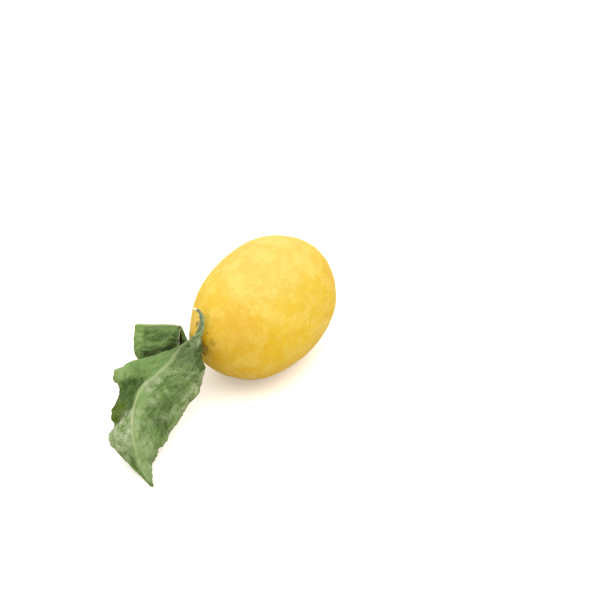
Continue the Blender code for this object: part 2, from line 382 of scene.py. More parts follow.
def new_material(name: str) -> tuple[Material, Tree, bpy.types.Node]:
    """Starts a material, and returns it with its tree and its shader."""
    made = bpy.data.materials.new(name)
    made.use_nodes = True
    return made, Tree(made.node_tree), made.node_tree.nodes["Principled BSDF"]


class Coat:
    """A material in the making: colours laid over each other through masks."""

    def __init__(self, name: str, effects: Effects, ground: Colour) -> None:
        """Starts a material with an even colour."""
        self.made, self.tree, self.shader = new_material(name)
        self.effects = effects
        self.colour: object = ground
        self.where = self.tree.add("ShaderNodeTexCoord").outputs["Object"]

    def blotch(self, scale: float, detail: float, start: float, end: float) -> Socket:
        """A mask of soft blotches, from noise that is cut off between start and end."""
        limits = {"From": start, "To": end}
        return self.tree.use(self.effects.blotch, Vector=self.where, Scale=scale, Detail=detail, **limits)

    def speck(self, scale: float, size: float, rarity: float) -> Socket:
        """A mask of sparse spots."""
        return self.tree.use(self.effects.speck, Vector=self.where, Scale=scale, Size=size, Rarity=rarity)

    def streaks(self, scale: float, stretch: float, turn: float = 0.0) -> Socket:
        """Fine streaks on the flattened surface."""
        flat = self.tree.add("ShaderNodeUVMap", {"uv_map": "flat"}).outputs[0]
        return self.tree.use(self.effects.fibre, Vector=flat, Scale=scale, Stretch=stretch, Turn=turn)

    def grain(self, scale: float, detail: float) -> Socket:
        """Plain noise."""
        return self.tree.add("ShaderNodeTexNoise", Vector=self.where, Scale=scale, Detail=detail).outputs[0]

    def lay(self, colour: Colour, mask: Socket, strength: float = 1.0) -> None:
        """Lays a colour over the rest where a mask is high."""
        if strength != 1.0:
            mask = self.tree.times(mask, strength)
        self.colour = self.tree.mix(mask, self.colour, colour)

    def finish(self, rough: Socket, gloss: float, relief: Socket, bump: float, depth: float) -> Material:
        """Wires the shader.

        Args:
            rough: Its roughness.
            gloss: How strongly it mirrors.
            relief: Its fine relief.
            bump: How strongly the relief shows.
            depth: How deep the relief is.

        Returns:
            The material.
        """
        uneven = self.tree.add("ShaderNodeBump", Strength=bump, Distance=depth, Height=relief)
        values = {
            "Base Color": self.colour,
            "Roughness": rough,
            "Specular IOR Level": gloss,
            "Normal": uneven.outputs[0],
        }
        for name, value in values.items():
            self.tree.set(self.shader.inputs[name], value)
        return self.made


# ---- finishes


@dataclass(frozen=True)
class Peel:
    """Waxy lemon peel: mottled yellow with pale rubbed places, oil glands, a few blemishes, painted light on
    its top and painted shade in a deeper gold.
    """

    body: Colour = srgb(200, 163, 12)
    deep: Colour = srgb(192, 150, 8)
    pale: Colour = srgb(202, 180, 92)
    # top_sheen and lit_top are painted light on the fruit's top, where the light falls strongest.
    top_sheen: Colour = srgb(176, 153, 80)
    lit_top: Colour = srgb(182, 153, 24)
    gland: Colour = srgb(188, 142, 14)
    speck: Colour = srgb(140, 98, 34)
    scar: Colour = srgb(126, 98, 14)
    russet: Colour = srgb(124, 58, 8)
    rust: Colour = srgb(88, 30, 6)
    # A deeper gold, for broad gold patches and for painted shade at the stem end and below.
    gold_and_shade: Colour = srgb(182, 138, 4)
    roughness: float = 0.5
    glow: float = 0.12
    glow_radius: Point = (1.0, 0.45, 0.12)
    glow_depth: float = 2.5 * MM

    def build(self, effects: Effects) -> Material:
        """Makes the material."""
        coat = Coat("peel", effects, self.body)
        tree = coat.tree
        clouds = coat.blotch(75.0, 2.0, 0.35, 0.68)
        dapple = coat.blotch(340.0, 3.0, 0.36, 0.7)
        lit_top = tree.painted("lit_top")
        gold_patches_and_shade = tree.painted("gold_patches_and_shade")
        coat.lay(self.deep, clouds, 0.25)
        # Painted shade: a deeper gold towards the stem end and on the underside.
        coat.lay(self.gold_and_shade, tree.painted("gold_and_shade"), 0.85)
        coat.lay(self.deep, dapple, 0.62)
        # Painted light: the top gets a paler, duller tone like a soft highlight, and its very top a whitish
        # painted sheen.
        coat.lay(self.lit_top, lit_top, 0.9)
        coat.lay(self.top_sheen, tree.ramp(lit_top, 0.75, 1.0, 0.0, 0.45))
        # Broad patches of deeper gold; the one at the stem end, beside the leaf, is painted shade.
        coat.lay(self.gold_and_shade, gold_patches_and_shade, 0.85)
        cream = coat.blotch(150.0, 3.0, 0.4, 0.66)
        coat.lay(self.pale, tree.times(cream, tree.ramp(gold_patches_and_shade, 0.0, 1.0, 0.38, 0.16)))
        rubbed = tree.math("MAXIMUM", coat.blotch(52.0, 2.0, 0.36, 0.64), tree.painted("faded"))
        flecks = tree.times(coat.blotch(430.0, 2.0, 0.48, 0.68), tree.ramp(gold_patches_and_shade, 0.0, 0.8, 0.46, 0.1))
        coat.lay(self.pale, tree.times(tree.plus(flecks, 0.08), rubbed))
        glands = tree.add("ShaderNodeTexVoronoi", Vector=coat.where, Scale=820.0)
        dots = tree.ramp(glands.outputs["Distance"], 0.1, 0.45, 1.0, 0.0)
        coat.lay(self.gland, dots, 0.34)
        coat.lay(self.speck, coat.speck(210.0, 0.22, 0.9), 0.35)
        coat.lay(self.russet, coat.speck(120.0, 0.18, 0.955), 0.3)
        smudge = tree.plus(tree.times(coat.blotch(520.0, 3.0, 0.4, 0.6), 0.7), 0.3)
        coat.lay(self.scar, tree.times(tree.painted("scar"), smudge))
        coat.lay(self.rust, tree.painted("rust"))
        coat.shader.inputs["Subsurface Weight"].default_value = self.glow
        coat.shader.inputs["Subsurface Radius"].default_value = self.glow_radius
        coat.shader.inputs["Subsurface Scale"].default_value = self.glow_depth
        rough = tree.ramp(dapple, 0.0, 1.0, self.roughness - 0.05, self.roughness + 0.08)
        relief = tree.math("SUBTRACT", tree.times(coat.grain(1500.0, 2.0), 0.35), tree.times(dots, 0.65))
        return coat.finish(rough, 0.3, relief, 0.35, 0.12 * MM)


@dataclass(frozen=True)
class LeafFinish:
    """One side of a dried citrus leaf: brushed green with painted tones, painted shade and painted light,
    bloom, veins and midrib.
    """

    name: str
    body: Colour
    deep: Colour
    light: Colour
    dark: Colour
    vein: Colour
    rib: Colour
    bloom: Colour = srgb(158, 166, 134)
    sere: Colour = srgb(64, 82, 6)
    margin: Colour = srgb(104, 100, 62)
    turn: float = 0.0
    vein_share: float = 0.12
    roughness: float = 0.72

    def build(self, effects: Effects) -> Material:
        """Makes the material."""
        coat = Coat(self.name, effects, self.body)
        tree = coat.tree
        streaks = coat.streaks(21.0, 3.6, self.turn)
        clouds = coat.blotch(150.0, 4.0, 0.34, 0.68)
        rise = tree.painted("rise")
        coat.lay(self.deep, clouds)
        coat.lay(self.light, tree.ramp(streaks, 0.46, 0.74, 0.0, 0.5))
        coat.lay(self.dark, tree.ramp(streaks, 0.27, 0.46, 0.45, 0.0))
        # Painted shade in the hollows of the wrinkles and painted light on their crests.
        coat.lay(self.dark, tree.ramp(rise, 0.4, 0.14, 0.0, 0.55))
        coat.lay(self.light, tree.ramp(rise, 0.58, 0.88, 0.0, 0.55))
        # Painted shade: the dark patches, in the folds and on faces turned away from the light.
        coat.lay(self.dark, tree.times(tree.painted("dark"), tree.ramp(streaks, 0.3, 0.66, 1.0, 0.7)))
        # The light patches are mostly painted light, where the blade faces the lamp.
        for label, strength in (("light", 0.8), ("sere", 0.9), ("vein", self.vein_share)):
            coat.lay(getattr(self, label), tree.painted(label), strength)
        to_edge = {"feature": "DISTANCE_TO_EDGE"}
        net = tree.add("ShaderNodeTexVoronoi", to_edge, Vector=coat.where, Scale=620.0)
        mesh_lines = tree.ramp(net.outputs["Distance"], 0.02, 0.14, 1.0, 0.0)
        coat.lay(self.vein, mesh_lines, 0.07)
        film = tree.times(coat.blotch(300.0, 5.0, 0.32, 0.7), 0.7)
        dust = tree.times(coat.blotch(1100.0, 2.0, 0.48, 0.66), 0.35)
        coat.lay(self.bloom, tree.times(tree.painted("bloom"), tree.plus(film, dust)))
        coat.lay(self.margin, tree.painted("margin"), 0.6)
        coat.lay(self.rib, tree.painted("rib"))
        coat.lay(self.dark, coat.speck(260.0, 0.28, 0.93), 0.4)
        rough = tree.ramp(clouds, 0.0, 1.0, self.roughness, self.roughness - 0.1)
        relief = tree.plus(tree.times(mesh_lines, 0.3), tree.times(coat.grain(1100.0, 3.0), 0.4))
        relief = tree.plus(relief, tree.times(streaks, 1.6))
        return coat.finish(rough, 0.1, relief, 0.5, 0.3 * MM)


@dataclass(frozen=True)
class Bark:
    """Dry skin of a twig, streaked along its length."""

    name: str
    body: Colour
    light: Colour
    dark: Colour
    roughness: float = 0.8

    def build(self, effects: Effects) -> Material:
        """Makes the material."""
        coat = Coat(self.name, effects, self.body)
        tree = coat.tree
        streaks = coat.streaks(40.0, 7.0)
        blots = coat.blotch(420.0, 4.0, 0.38, 0.62)
        coat.lay(self.dark, blots)
        coat.lay(self.light, tree.ramp(streaks, 0.42, 0.7))
        coat.lay(self.light, coat.speck(1300.0, 0.35, 0.72), 0.6)
        rough = tree.ramp(blots, 0.0, 1.0, self.roughness, self.roughness - 0.12)
        relief = tree.plus(tree.times(coat.grain(2600.0, 3.0), 0.6), streaks)
        return coat.finish(rough, 0.2, relief, 0.6, 0.2 * MM)


# ---- fruit


@dataclass(frozen=True)
class Blemish:
    """A small mark on the peel: its middle and its radius in millimetres, and its strength."""

    middle: Point
    radius: float
    strength: float


@dataclass
class Fruit:
    """The lemon itself: an oval with a blunt nipple and a slightly sunk stem end."""

    finish: Peel = field(default_factory=Peel)
    radius: float = 30 * MM
    stem_half: float = 41.5 * MM
    blossom_half: float = 40.5 * MM
    blossom_fullness: float = 0.035
    nipple_length: float = 4.6 * MM
    nipple_radius: float = 7.2 * MM
    nipple_tilt: float = 1.2 * MM
    neck_shift: float = 6.4 * MM
    neck_rise: float = 3.8 * MM
    neck_power: float = 8
    hollow_depth: float = 0.9 * MM
    hollow_radius: float = 5.2 * MM
    lump_height: float = 0.5 * MM
    lump_size: float = 17 * MM
    gland_depth: float = 0.05 * MM
    gland_size: float = 1.9 * MM
    furrows: int = 9
    furrow_depth: float = 0.1 * MM
    furrow_ring: tuple[float, float] = (6.5 * MM, 3.0 * MM)  # their radius round the stem end and their reach
    calm_height: float = 1.5 * MM  # the relief fades out below this height
    # Where each colour sets in and where it is full: heights, a place along the axis, and
    # distances from the stem end.
    # lit_top: the heights over which the top's painted light sets in and is full.
    lit_top: tuple[float, float] = (27 * MM, 61 * MM)
    # Where the painted shade in deeper gold sets in and is full: along the axis towards the stem end, and
    # downwards.
    stem_end_shade: tuple[float, float] = (-16 * MM, -38 * MM)
    underside_shade: tuple[float, float] = (34 * MM, 8 * MM)
    scar_ring: tuple[float, float] = (7.5 * MM, 4.0 * MM)
    scar_strength: float = 0.25
    axis_height: float = 29.4 * MM
    smudges: tuple[Blemish, ...] = (
        Blemish((-40.0, -0.5, 38.0), 1.1, 0.8),
        Blemish((-39.6, 0.8, 40.2), 0.9, 0.55),
        Blemish((-40.7, 4.3, 32.0), 1.3, 0.5),
        Blemish((-40.4, 2.0, 36.0), 3.8, 0.3),
        Blemish((-40.4, 4.0, 27.5), 2.4, 0.18),
    )
    rust: tuple[Blemish, ...] = (
        Blemish((-36.5, 11.3, 41.7), 1.1, 1.0),
        Blemish((-39.0, 3.5, 42.2), 0.6, 0.65),
        Blemish((-36.8, 12.9, 41.2), 1.4, 0.25),
    )
    # Broad patches of deeper gold; the one at the stem end, beside the leaf, is painted shade.
    gold_patches_and_shade: tuple[Blemish, ...] = (
        Blemish((-31.0, -3.5, 46.0), 8.0, 0.85),
        Blemish((-26.0, -9.0, 46.0), 9.0, 0.75),
        Blemish((-31.0, -10.0, 39.0), 7.0, 0.65),
        Blemish((-38.5, 0.0, 33.0), 7.0, 0.85),
        Blemish((30.0, -20.0, 40.0), 13.0, 0.6),
    )
    faded: tuple[Blemish, ...] = (
        Blemish((-2.0, -14.0, 54.0), 11.0, 1.0),
        Blemish((-18.0, 2.0, 56.0), 9.0, 0.6),
        Blemish((-12.0, -25.0, 25.0), 8.0, 0.6),
    )
    cuts: int = 119

    def plain(self, ways: Array) -> Array:
        """The points of the plain shape in the directions of unit vectors."""
        x, y, z = ways.T
        full = np.where(x > 0, 1 + 4 * self.blossom_fullness * x**2 * (1 - x**2), 1.0)
        radius = self.radius * full
        half = np.where(x < 0, self.stem_half, self.blossom_half)
        points = np.stack([half * x, radius * y, radius * z], axis=1)
        from_axis = np.hypot(y, z) * radius
        rise = np.where(x > 0, bell(from_axis, 0.0, self.nipple_radius), 0.0)
        neck = np.where(x < 0, np.abs(x) ** self.neck_power, 0.0)
        hollow = np.where(x < 0, bell(from_axis, 0.0, self.hollow_radius), 0.0)
        points[:, 0] += self.nipple_length * rise + self.hollow_depth * hollow
        points[:, 1] += self.nipple_tilt * rise + self.neck_shift * neck
        points[:, 2] += self.neck_rise * neck
        points += ways * (self.lump_height * noise_at(points, self.lump_size))[:, None]
        points[:, 2] = np.maximum(points[:, 2], -self.axis_height)
        return points + (0.0, 0.0, self.axis_height)

    def stem_end(self) -> tuple[Vector, Vector]:
        """Where the calyx sits, and the way out of the fruit there."""
        step = 0.12
        ways = np.array([(-1, 0, 0), (-1, step, 0), (-1, -step, 0), (-1, 0, step), (-1, 0, -step)])
        end, *sides = (Vector(point) for point in self.plain(unit(ways)))
        out = (sides[1] - sides[0]).cross(sides[3] - sides[2]).normalized()
        return end, -out if out.x > 0 else out

    def build(self, effects: Effects) -> Piece:
        """Makes the fine skin from a cube that is divided, rounded and shaped."""
        deselect()
        bpy.ops.mesh.primitive_cube_add(size=2.0)
        piece = active()
        piece.name = piece.data.name = "lemon_skin"
        edit(
            lambda: bpy.ops.mesh.subdivide(number_cuts=self.cuts),
            lambda: bpy.ops.transform.tosphere(value=1.0),
        )
        ways = unit(points_of(piece.data))
        plain = self.plain(ways)
        end, out = self.stem_end()
        away = np.linalg.norm(plain - np.array(end), axis=1)
        calm = smooth_step(plain[:, 2], 0.0, self.calm_height)
        relief = self.relief(plain, away) * calm
        fine = fit_to(plain + ways * relief[:, None], plain, "fruit")
        fine[:, 2] = np.maximum(fine[:, 2], 0.0)
        place(piece.data, fine)
        scar = self.scars(plain, away) + self.marked(self.smudges, plain)
        paint(piece.data, "scar", np.clip(scar, 0.0, 1.0))
        for label in ("rust", "gold_patches_and_shade", "faded"):
            paint(piece.data, label, self.marked(getattr(self, label), plain))
        paint(piece.data, "gold_and_shade", self.gold_and_shade(plain))
        paint(piece.data, "lit_top", smooth_step(plain[:, 2], *self.lit_top))
        deselect()
        piece.select_set(True)
        bpy.context.view_layer.objects.active = piece
        bpy.ops.object.shade_smooth()
        dress(piece, "fruit", "peel", self.finish.build(effects))
        return piece

    def relief(self, points: Array, away: Array) -> Array:
        """How far the skin stands out of the plain shape.

        Args:
            points: The plain shape.
            away: Each point's distance from the stem end.

        Returns:
            The heights, in metres: shallow dents, fine oil glands and furrows round the calyx.
        """
        dents = rough(points, (0.16, 6.5, 3.1), (0.1, 2.6, 8.7))
        glands = -self.gland_depth * pits_at(points, self.gland_size)
        end, _ = self.stem_end()
        angle = np.arctan2(points[:, 2] - end.z, points[:, 1] - end.y)
        bent = self.furrows * angle + 2.0 * noise_at(points, 9 * MM, 5.0)
        return dents + glands + self.furrow_depth * np.cos(bent) * bell(away, *self.furrow_ring)

    @staticmethod
    def marked(blemishes: Sequence[Blemish], points: Array) -> Array:
        """The sum of some blemishes, each with a ragged edge."""
        total = np.zeros(len(points))
        ragged = 1 + 0.5 * noise_at(points, 1.1 * MM, 3.3)
        for blemish in blemishes:
            away = np.linalg.norm(points - np.array(blemish.middle) * MM, axis=1)
            total += blemish.strength * bell(away * ragged, 0.0, blemish.radius * MM)
        return np.clip(total, 0.0, 1.0)

    def gold_and_shade(self, points: Array) -> Array:
        """Painted shade: a deeper gold towards the stem end and on the underside, away from the light."""
        cloudy = rough(points, (4, 14, 2.2))
        stemward = smooth_step(points[:, 0] + cloudy, *self.stem_end_shade)
        below = smooth_step(points[:, 2] + cloudy, *self.underside_shade)
        return np.clip(0.7 * stemward + 0.6 * below, 0.0, 1.0)

    def scars(self, points: Array, away: Array) -> Array:
        """Where the peel is rubbed brown and green: close round the calyx."""
        near = smooth_step(away + rough(points, (2.2, 3.2, 1.7)), *self.scar_ring)
        broken = np.clip(0.55 + 0.6 * noise_at(points, 2.2 * MM, 6.1), 0.0, 1.0)
        return self.scar_strength * near * broken


# ---- calyx and stem


def map_along(piece: Piece, rings: Array) -> None:
    """Makes a piece's UV map run round it (U, 0 to 0.1) and along it (V, in tenths of a metre)."""
    length = np.linalg.norm(np.diff(rings.mean(axis=1), axis=0), axis=1).sum()
    remap(piece, lambda uv: uv * (0.1, length * 10))


@dataclass
class Twig:
    """The short stem, drawn along its path from the calyx to its broken tip."""

    bark: Bark = Bark("twig_bark", srgb(94, 106, 82), srgb(134, 142, 108), srgb(66, 72, 48))
    cut: Bark = Bark("twig_cut", srgb(196, 190, 150), srgb(222, 216, 184), srgb(150, 140, 96))
    radius: float = 1.15 * MM
    tip_share: float = 0.52
    path: tuple[Point, ...] = (
        (-4.2, 1.3, 0.8),
        (-3.4, 0.3, 6.3),
        (0.4, 0.4, 11.4),
        (4.2, 2.0, 15.0),
        (5.5, 5.0, 16.1),
        (5.7, 8.2, 15.6),
    )
    # Each swelling's place and reach, counted in knots, and its share of the radius between them.
    swellings: tuple[Point, ...] = ((2.0, 0.45, 0.16), (5.0, 0.55, 0.22), (3.6, 0.35, 0.15))
    flare: float = 0.75
    side_hint: Point = (0.3, 0.9, 0.2)
    around: int = 40
    per_knot: int = 26
    bare_share: float = 0.88  # beyond this share of its length the stem is stripped and pale

    def knots(self, fruit: Fruit, seat: float) -> list[Vector]:
        """The path in the frame, starting at the given height over the fruit's stem end."""
        end, out = fruit.stem_end()
        start = end + out * seat
        return [start, start + out * self.radius] + [end + Vector(p) * MM for p in self.path]

    def build(self, fruit: Fruit, seat: float, effects: Effects) -> Piece:
        """Makes the stem.

        Args:
            fruit: The fruit that it grows on.
            seat: Its foot's height over the fruit's stem end.
            effects: The shared node groups.

        Returns:
            The piece.
        """
        knots = np.array(self.knots(fruit, seat))
        places = np.linspace(0, len(knots) - 1, (len(knots) - 1) * self.per_knot + 1)
        middle = smooth_through(knots, places)
        share = places / places[-1]
        along = unit(np.gradient(middle, axis=0))
        side = unit(np.cross(along, self.side_hint))
        up = np.cross(side, along)
        angles = np.linspace(0, 2 * pi, self.around, endpoint=False)
        outward = np.cos(angles)[None, :, None] * side[:, None]
        outward += np.sin(angles)[None, :, None] * up[:, None]
        radius = self.radius * (1 - (1 - self.tip_share) * share)[:, None]
        plain = middle[:, None] + outward * radius[:, :, None]
        ridges = 1 + 0.07 * np.cos(5 * angles + 3.0 * share[:, None])
        ridges += 0.1 * noise_at(plain, 1.3 * MM, 2.0)
        swollen = np.ones(len(places))
        for knot, height, reach in self.swellings:
            swollen += height * bell(places, knot, reach)
        swollen += self.flare * smooth_step(places, 0.7, 0.0)
        rings = middle[:, None] + outward * (radius * ridges * swollen[:, None])[:, :, None]
        piece = skin("twig", rings, {})
        map_along(piece, rings)
        dress(piece, "stem", "stem", self.bark.build(effects), self.cut.build(effects))
        tip = Vector(middle[-1])
        bare = self.bare_share * places[-1]
        edge = Vector(smooth_through(knots, np.array([bare]))[0])
        reach = (tip - edge).length
        for face in piece.data.polygons:
            face.material_index = int((face.center - tip).length < reach and face.center.y > edge.y)
        return piece


@dataclass
class Calyx:
    """The dry star of five lobes that holds the fruit on its stem."""

    finish: Bark = Bark("calyx_dry", srgb(128, 102, 30), srgb(156, 132, 52), srgb(88, 62, 14), 0.85)
    radius: float = 3.7 * MM
    lobe: float = 0.8 * MM
    lobes: int = 5
    curl: float = 0.12 * MM
    height: float = 1.2 * MM
    seat: float = 0.525 * MM
    sink: float = 0.35 * MM
    around: int = 160
    rings: int = 41
    # From the underside over the edge to the hub: the shares of the radius and of the height, and
    # how strongly the lobes show there.
    profile: tuple[Point, ...] = (
        (0.3, -0.1, 0.0),
        (0.86, -0.06, 1.0),
        (1.0, 0.02, 1.3),
        (1.06, 0.12, 1.5),
        (1.05, 0.24, 1.4),
        (0.98, 0.34, 1.2),
        (0.86, 0.44, 0.9),
        (0.7, 0.56, 0.5),
        (0.56, 0.7, 0.2),
        (0.46, 0.88, 0.0),
        (0.42, 1.05, 0.0),
    )

    def build(self, fruit: Fruit, effects: Effects) -> Piece:
        """Makes the star from its rings."""
        angles = np.linspace(0, 2 * pi, self.around, endpoint=False)
        star = np.cos(self.lobes * angles)
        places = np.linspace(0, len(self.profile) - 1, self.rings)
        made = []
        for reach, level, depth in smooth_through(np.array(self.profile), places):
            wave = self.radius * reach + self.lobe * depth * star * min(reach, 1.0)
            lift = self.height * level + self.curl * star * depth
            made.append(np.stack([wave * np.cos(angles), wave * np.sin(angles), lift], axis=1))
        rings = np.array(made)
        rings[:, :, 2] += rough(rings, (0.16, 0.9, 4.0), (0.12, 2.1, 9.0))
        rings[:, :, :2] *= 1 + 0.1 * noise_at(rings, 1.5 * MM, 7.0)[:, :, None]
        end, out = fruit.stem_end()
        turn = np.array(Vector((0, 0, 1)).rotation_difference(out).to_matrix())
        rings = rings @ turn.T + np.array(end + out * (self.seat - self.sink))
        piece = skin("calyx_star", rings, {})
        map_along(piece, rings)
        dress(piece, "calyx", "calyx", self.finish.build(effects))
        return piece


# ---- leaves


class Side(Enum):
    """The two sides of a leaf, by the place of their material on the piece."""

    UNDER = 0
    UPPER = 1


@dataclass(frozen=True)
class Row:
    """One cross-section of a leaf, in millimetres.

    The midrib, the left edge and the right edge as seen from the underside with the tip down, x
    and y from the foot and z from the ground, and how far each half bulges out.
    """

    mid: Point
    left: Point | None = None
    right: Point | None = None
    bulge_left: float = 0.0
    bulge_right: float = 0.0


@dataclass(frozen=True)
class Patch:
    """A soft-edged patch on a leaf.

    Its middle, with the place along the leaf counted in rows and the share of the half width
    below 0 on the left; how far it reaches both ways; and how strong it is. With a slant it lies
    further towards the tip the further out it is.
    """

    place: float
    share: float
    place_reach: float
    share_reach: float
    strength: float = 1.0
    slant: float = 0.0

    def mask(self, places: Array, shares: Array) -> Array:
        """How strong the patch is at each point."""
        along = np.abs(places - self.place - self.slant * (np.abs(shares) - abs(self.share)))
        across = np.abs(shares - self.share)
        inside = smooth_step(along / self.place_reach, 1.35, 0.65)
        return self.strength * inside * smooth_step(across / self.share_reach, 1.35, 0.65)


def patches(*rows: tuple[float, ...]) -> tuple[Patch, ...]:
    """Makes patches from rows of place, share, reach along, reach across, strength and slant."""
    return tuple(Patch(*row) for row in rows)


@dataclass(frozen=True)
class Marks:
    """What is painted on a leaf, and how its blade is dented and lifted, in millimetres."""

    bloom: tuple[Patch, ...]
    # dark is mostly painted shade, in folds and on faces turned away from the light; light is mostly painted
    # light, where the blade faces the lamp.
    dark: tuple[Patch, ...]
    light: tuple[Patch, ...]
    sere: tuple[Patch, ...]
    cream: tuple[Patch, ...]
    lift: tuple[Patch, ...]
    bites: tuple[Patch, ...]
    rib: tuple[Point, ...]  # place, strength and half width of the midrib's line


@dataclass
class Leaf:
    """A dried leaf, folded along its midrib."""

    name: str
    node: str
    rows: tuple[Row, ...]
    marks: Marks
    under: LeafFinish
    upper: LeafFinish
    seed: float
    wrinkle_slant: float  # how far the wrinkles turn from across the leaf to along it
    steps: int = 26
    half_columns: int = 76
    petiole_radius: float = 0.85 * MM
    thickness: float = 0.45 * MM
    rim_share: float = 0.35
    rib_height: float = 0.5 * MM
    rib_radius: float = 0.9 * MM
    vein_pairs: int = 10
    vein_slant: float = 1.05
    vein_bend: float = 9.0
    vein_stagger: float = 0.35  # how far the right veins lie beyond the left ones, in spacings
    vein_width: float = 0.55 * MM
    vein_height: float = 0.16 * MM
    wrinkle: float = 0.55 * MM
    wrinkle_crowding: float = 1.28
    wrinkle_stretch: float = 0.38
    crinkle: float = 0.16 * MM
    curl: float = 0.9 * MM
    waviness: float = 0.6 * MM
    serration: float = 0.3 * MM
    smudging: tuple[float, float] = (1.6, 0.35)  # how raggedly the patches end, in rows and in shares
    right_share: float = 0.6
    petiole_rows: float = 2.0
    blade_rows: float = 1.2  # the blade sets in over this many rows beyond the petiole
    tip_rows: float = 0.9
    slim_rows: tuple[float, float] = (2.6, 1.4)
    thin_from: float = 0.9
    margin: tuple[float, float] = (0.955, 0.995)
    loose: tuple[float, float] = (0.5 * MM, 6 * MM)  # distances from the midrib
    petiole_slim: float = 0.25
    clearance: float = 0.3 * MM  # how far above the ground the leaf stays

    def rails(self) -> tuple[Array, Array, Array, Array]:
        """The midrib, left edge, right edge and bulges, one row for each cross-section."""
        blade = self.rows[2]
        side = unit(np.array(blade.right) - np.array(blade.left)) * self.petiole_radius / MM
        mids = np.array([row.mid for row in self.rows])
        lefts = np.array([row.left or tuple(np.array(row.mid) - side) for row in self.rows])
        rights = np.array([row.right or tuple(np.array(row.mid) + side) for row in self.rows])
        bulges = np.array([(row.bulge_left, row.bulge_right) for row in self.rows])
        return mids * MM, lefts * MM, rights * MM, bulges * MM

    def surface(self) -> tuple[Array, Array, Array]:
        """The plain middle surface.

        Returns:
            Its points as rows by columns by 3, each row's place counted in cross-sections, and
            each column's share of the half width, below 0 on the left.
        """
        mids, lefts, rights, bulges = self.rails()
        places = np.linspace(0, len(self.rows) - 1, (len(self.rows) - 1) * self.steps + 1)
        out_shares = np.linspace(0, 1, self.half_columns + 1)[1:]
        out_shares = 0.65 * out_shares + 0.35 * out_shares**2
        shares = np.concatenate([-out_shares[::-1], [0.0], out_shares])
        middle = smooth_through(mids, places)
        along = smooth_through(mids, np.minimum(places + 0.1, places[-1]))
        along -= smooth_through(mids, np.maximum(places - 0.1, 0))
        bulge = smooth_through(bulges, places)
        points = np.repeat(middle[:, None], len(shares), axis=1)
        for sign, edges, column in ((-1, lefts, 0), (1, rights, 1)):
            chord = smooth_through(edges, places) - middle
            chord *= self.ragged(places, sign, np.linalg.norm(chord, axis=1))[:, None]
            out = sign * unit(np.cross(along, chord))
            for j, share in enumerate(shares):
                if share * sign > 0:
                    bow = 4 * bulge[:, column] * abs(share) * (1 - abs(share))
                    points[:, j] += chord * abs(share) + out * bow[:, None]
        return points, places, shares

    def ragged(self, places: Array, sign: int, width: Array) -> Array:
        """How much longer or shorter each half cross-section is, for an uneven margin."""
        line = np.stack([places * 0, places, places * 0 + sign * 4.0 + self.seed], axis=1)
        uneven = self.waviness * noise_at(line, 0.42) + self.serration * noise_at(line, 0.11, 2.0)
        if sign > 0:
            uneven *= self.right_share
        for bite in self.marks.bites:
            uneven -= MM * bite.mask(places, places * 0 + sign)
        blade = smooth_step(places, self.petiole_rows, self.petiole_rows + 1.5)
        return 1 + blade * uneven / np.maximum(width, 2 * MM)

    def marked(self, label: str, places: Array, shares: Array) -> Array:
        """The sum of the patches of one kind over the grid of the blade."""
        total = 0 * places
        for patch in getattr(self.marks, label):
            total = total + patch.mask(places, shares)
        return total

    def lengths(self, points: Array) -> tuple[Array, Array]:
        """How far each point is along the midrib from the foot, and across from the midrib."""
        middle = points.shape[1] // 2
        steps = np.linalg.norm(np.diff(points[:, middle], axis=0), axis=1)
        along = np.concatenate([[0.0], np.cumsum(steps)])
        spans = np.linalg.norm(np.diff(points, axis=1), axis=2)
        across = np.concatenate([np.zeros((len(points), 1)), np.cumsum(spans, axis=1)], axis=1)
        across -= across[:, middle : middle + 1]
        return np.repeat(along[:, None], points.shape[1], axis=1), across

    def veins(self, along: Array, across: Array, blade: Array) -> Array:
        """The side veins: 1 on a vein and 0 between them."""
        spacing = along.max() / self.vein_pairs
        flat = np.stack([along, across, 0 * along + self.seed * MM], axis=-1)
        bent = along - self.vein_slant * np.abs(across) + self.vein_bend * across**2
        bent += rough(flat, (1.6, 9, 0.0))
        bent += np.where(across > 0, self.vein_stagger, 0.0) * spacing
        phase = bent / spacing
        nearest = np.abs(phase - np.rint(phase)) * spacing
        fade = smooth_step(np.abs(across), 0.4 * MM, 1.6 * MM)
        return bell(nearest, 0.0, self.vein_width) * fade * blade

    def packed(self, along: Array, across: Array) -> Array:
        """The leaf laid flat, turned so that the wrinkles run along its first axis."""
        crowding = self.wrinkle_crowding / hypot(1.0, self.wrinkle_slant)
        drawn_out = crowding * (across + along * self.wrinkle_slant)
        crowded = crowding * (along - across * self.wrinkle_slant)
        return np.stack([drawn_out, crowded, 0 * along + self.seed * MM], axis=-1)

    def waves(self, plain: Array, flat: Array, free: Array, outward: Array) -> Array:
        """How far the dried blade is wrinkled out of its plain surface.

        Args:
            plain: The plain middle surface.
            flat: The same points laid flat.
            free: How freely each point moves: 0 on the midrib and the petiole, and 1 on the blade.
            outward: Each column's share of the half width.

        Returns:
            The heights, in metres.
        """
        drawn = flat * (self.wrinkle_stretch, 1.0, 1.0)
        waves = self.wrinkle * noise_at(drawn, 3.6 * MM) * free
        waves += 0.5 * self.wrinkle * noise_at(drawn, 1.7 * MM, 4.0) * free
        waves += self.crinkle * noise_at(plain, 1.3 * MM, self.seed) * free
        waves += self.curl * noise_at(plain, 7.0 * MM, self.seed + 3.0) * free * outward**2
        return waves

